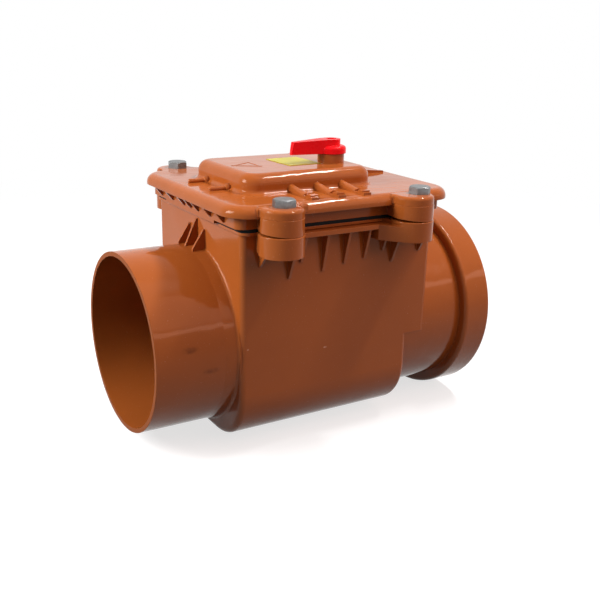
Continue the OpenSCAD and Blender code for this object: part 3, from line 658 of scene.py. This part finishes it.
def add_cap(shape, outline, place, outward, foot, height, rounding):
    """Raises an outline to a cap with a rounded upper edge, on the side that outward (1 or -1) names."""
    plan = [(place.x + p.x, place.y + outward * p.y) for p in outline]
    low = [shape.verts.new((x, y, foot)) for x, y in plan]
    high = [shape.verts.new((x, y, foot + height)) for x, y in plan]
    count = len(plan)
    faces = [shape.faces.new(low), shape.faces.new(high)]
    for k in range(count):
        n = (k + 1) % count
        faces.append(shape.faces.new((low[k], low[n], high[n], high[k])))
    bmesh.ops.recalc_face_normals(shape, faces=faces)
    rim = [shape.edges.get((high[k], high[k + 1])) for k in range(count - 1)]
    bmesh.ops.bevel(
        shape, geom=rim, offset=rounding, offset_type="OFFSET", segments=ROUND_STEPS, profile=0.5,
        affect="EDGES", clamp_overlap=False,
    )


class VALVE_OT_lug_caps(bpy.types.Operator):
    """Make the caps that blend the lid's lugs into the flange"""

    bl_idname = "valve.lug_caps"
    bl_label = "Lug caps"
    bl_options = {"REGISTER", "UNDO"}

    def execute(self, context):
        detail = context.scene.valve_detail
        bolts = corner_fasteners("lid_bolts")
        middle = sum(b.axis.x for b in bolts) / len(bolts)
        shape = bmesh.new()
        for bolt in bolts:
            outlet = bolt.axis.x < middle
            back = detail.outlet_back if outlet else detail.inlet_back
            hollows = (detail.small_hollow, detail.wide_hollow if outlet else detail.small_hollow)
            edge = detail.flange_half - abs(bolt.axis.y)
            outline = cap_outline(edge, Vector((-back, detail.cap_out)), detail.cap_radius, hollows)
            outward = math.copysign(1, bolt.axis.y)
            foot = bolt.seat + detail.cap_skin - detail.cap_height
            add_cap(shape, outline, bolt.axis, outward, foot, detail.cap_height, detail.cap_round)
        mesh = bpy.data.meshes.new("lid_lug_caps")
        shape.to_mesh(mesh)
        shape.free()
        caps = add_object("lid_lug_caps", mesh)
        dress(caps, "moulded_pvc")
        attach(caps, "housing")
        return {"FINISHED"}


class VALVE_OT_flap(ValvePieceOperator, bpy.types.Operator):
    """Finish the flap and its hinge"""

    bl_idname = "valve.flap"
    bl_label = "Flap"
    finishes = {
        "flap_plate": "flap_plastic",
        "seal_retainer": "turned_steel",
        "retainer_screws": "turned_steel",
        "hinge_pin": "turned_steel",
        "hinge_pin_clips": "turned_steel",
    }


class VALVE_OT_lock(ValvePieceOperator, bpy.types.Operator):
    """Finish the handle, its shaft and the locking arm"""

    bl_idname = "valve.lock"
    bl_label = "Handle and lock"
    finishes = {
        "handle": "gloss_red",
        "handle_screw": "turned_steel",
        "handle_shaft": "turned_steel",
        "shaft_washer": "turned_steel",
        "shaft_clip": "turned_steel",
        "locking_arm": "flap_plastic",
        "arm_cross_pin": "turned_steel",
    }


class VALVE_OT_label(ValvePieceOperator, bpy.types.Operator):
    """Finish the bare label"""

    bl_idname = "valve.label"
    bl_label = "Label"
    finishes = {"label_plate": "label_film"}


class Lamp(NamedTuple):
    """A soft lamp of an even glow, placed in a direction from the object's middle."""

    name: str
    direction: tuple
    distance: float
    size: tuple
    glow: float
    oval: bool = False
    warm: bool = False


LAMPS = (
    Lamp("left", direction=(-0.87, 0.15, 0.45), distance=1.2, size=(0.48, 0.48), glow=23.5),
    Lamp("overhead", direction=(0.0, -0.15, 0.95), distance=1.3, size=(0.8, 1.0), glow=1.1, oval=True),
    Lamp("strip", direction=(0.47, -0.12, 0.87), distance=1.4, size=(0.8, 0.08), glow=103, oval=True),
    Lamp("front", direction=(0.3, -0.65, 0.70), distance=2.2, size=(2.0, 1.6), glow=2, oval=True, warm=True),
    Lamp("card", direction=(0.5, -0.775, 0.35), distance=1.6, size=(1.6, 0.14), glow=5, warm=True),
)


def add_lamp(lamp, warm_light):
    light = bpy.data.lights.new(lamp.name, "AREA")
    light.shape = "ELLIPSE" if lamp.oval else "RECTANGLE"
    light.size, light.size_y = lamp.size
    if lamp.warm:
        light.color = warm_light
    area = light.size * light.size_y * (math.pi / 4 if lamp.oval else 1)
    light.energy = lamp.glow * math.pi * area
    holder = add_object(lamp.name, light)
    away = Vector(lamp.direction).normalized()
    holder.location = MIDDLE + away * lamp.distance
    holder.rotation_mode = "QUATERNION"
    holder.rotation_quaternion = away.to_track_quat("Z", "Y")


def add_camera(studio):
    place, aim = Vector(studio.camera_at), Vector(studio.look_at)
    camera = bpy.data.cameras.new("camera")
    camera.sensor_fit = "HORIZONTAL"
    camera.sensor_width = 36
    camera.lens = studio.lens
    camera.clip_start, camera.clip_end = 0.01, 50
    back = (place - aim).normalized()
    level = Vector((0, 0, 1)).cross(back).normalized()
    right = Matrix.Rotation(studio.roll, 3, back) @ level
    axes = Matrix((right, back.cross(right), back)).transposed()
    holder = add_object("camera", camera)
    holder.matrix_world = Matrix.Translation(place) @ axes.to_4x4()
    bpy.context.scene.camera = holder


def add_floor(studio):
    """A pale floor that looks white to the camera where no shadow falls."""
    half, z = studio.floor_half, CAD_LOW.z - studio.floor_gap
    corners = [(-half, -half, z), (half, -half, z), (half, half, z), (-half, half, z)]
    mesh = bpy.data.meshes.new("floor")
    mesh.from_pydata(corners, [], [(0, 1, 2, 3)])
    mesh.materials.append(pale_floor(studio))
    floor = add_object("floor", mesh)


WHITE = (1, 1, 1, 1)


def pale_floor(studio):
    """White where it is lit, with the object's soft shadow, and plain white further off."""
    material = bpy.data.materials.new("pale_floor")
    material.use_nodes = True
    made = NodeMaker(material.node_tree)
    made.tree.nodes.clear()
    shaded = made.add("ShaderNodeAddShader")
    made.feed(shaded.inputs[0], made.first("ShaderNodeBsdfDiffuse", Color=(*studio.floor_tone, 1)))
    made.feed(shaded.inputs[1], made.first("ShaderNodeEmission", Color=WHITE, Strength=studio.floor_glow))
    white = made.first("ShaderNodeEmission", Color=WHITE, Strength=1.0)
    look = made.choose(far_off(made, studio), shaded.outputs[0], white)
    bounce = made.first("ShaderNodeBsdfDiffuse", Color=(*studio.floor_bounce, 1))
    made.add("ShaderNodeOutputMaterial", Surface=made.choose(background_rays(made), bounce, look))
    return material


def far_off(made, studio):
    """0 near the object, rising to 1 where the floor is plain white."""
    apart = made.add("ShaderNodeVectorMath", {"operation": "DISTANCE"})
    made.feed(apart.inputs[0], made.add("ShaderNodeTexCoord").outputs["Object"])
    made.feed(apart.inputs[1], tuple(MIDDLE))
    return made.remap(apart.outputs["Value"], (studio.floor_near, studio.floor_reach), (0, 1), smooth=True)


def background_rays(made):
    """1 for the rays that show the background: the camera's, and those in gloss and glass."""
    rays = made.add("ShaderNodeLightPath").outputs
    shown = rays["Is Camera Ray"]
    for name in ("Is Glossy Ray", "Is Transmission Ray"):
        shown = made.math("MAXIMUM", shown, rays[name])
    return shown


def add_sky(studio):
    """Even light, and plain white behind the object."""
    world = bpy.data.worlds.new("studio")
    bpy.context.scene.world = world
    world.use_nodes = True
    made = NodeMaker(world.node_tree)
    made.tree.nodes.clear()
    even = made.first("ShaderNodeBackground", Color=WHITE, Strength=studio.sky)
    white = made.first("ShaderNodeBackground", Color=WHITE, Strength=1.0)
    made.add("ShaderNodeOutputWorld", Surface=made.choose(background_rays(made), even, white))


class VALVE_OT_studio(bpy.types.Operator):
    """Set up the camera, the lamps and the pale floor"""

    bl_idname = "valve.studio"
    bl_label = "Studio"
    bl_options = {"REGISTER", "UNDO"}

    def execute(self, context):
        studio = context.scene.valve_studio
        context.scene.view_settings.view_transform = "Standard"
        add_camera(studio)
        add_floor(studio)
        add_sky(studio)
        for lamp in LAMPS:
            add_lamp(lamp, studio.warm_light)
        return {"FINISHED"}


class VALVE_PT_panel(bpy.types.Panel):
    """Lists the steps that finish the valve"""

    bl_idname = "VALVE_PT_panel"
    bl_label = "Backwater valve"
    bl_space_type = "VIEW_3D"
    bl_region_type = "UI"
    bl_category = "Valve"

    def draw(self, context):
        for step in STEPS:
            self.layout.operator(step.bl_idname)


STEPS = (
    VALVE_OT_mouldings,
    VALVE_OT_seals,
    VALVE_OT_lug_caps,
    VALVE_OT_fasteners,
    VALVE_OT_flap,
    VALVE_OT_lock,
    VALVE_OT_label,
    VALVE_OT_studio,
)
CLASSES = (ValveFinish, ValveDetail, ValveStudio, *STEPS, VALVE_PT_panel)


def register():
    for made in CLASSES:
        bpy.utils.register_class(made)
    bpy.types.Scene.valve_finish = bpy.props.PointerProperty(type=ValveFinish)
    bpy.types.Scene.valve_detail = bpy.props.PointerProperty(type=ValveDetail)
    bpy.types.Scene.valve_studio = bpy.props.PointerProperty(type=ValveStudio)


def unregister():
    del bpy.types.Scene.valve_studio
    del bpy.types.Scene.valve_detail
    del bpy.types.Scene.valve_finish
    for made in reversed(CLASSES):
        bpy.utils.unregister_class(made)


def main():
    register()
    for step in STEPS:
        group, name = step.bl_idname.split(".")
        getattr(getattr(bpy.ops, group), name)()


if __name__ == "__main__":
    main()
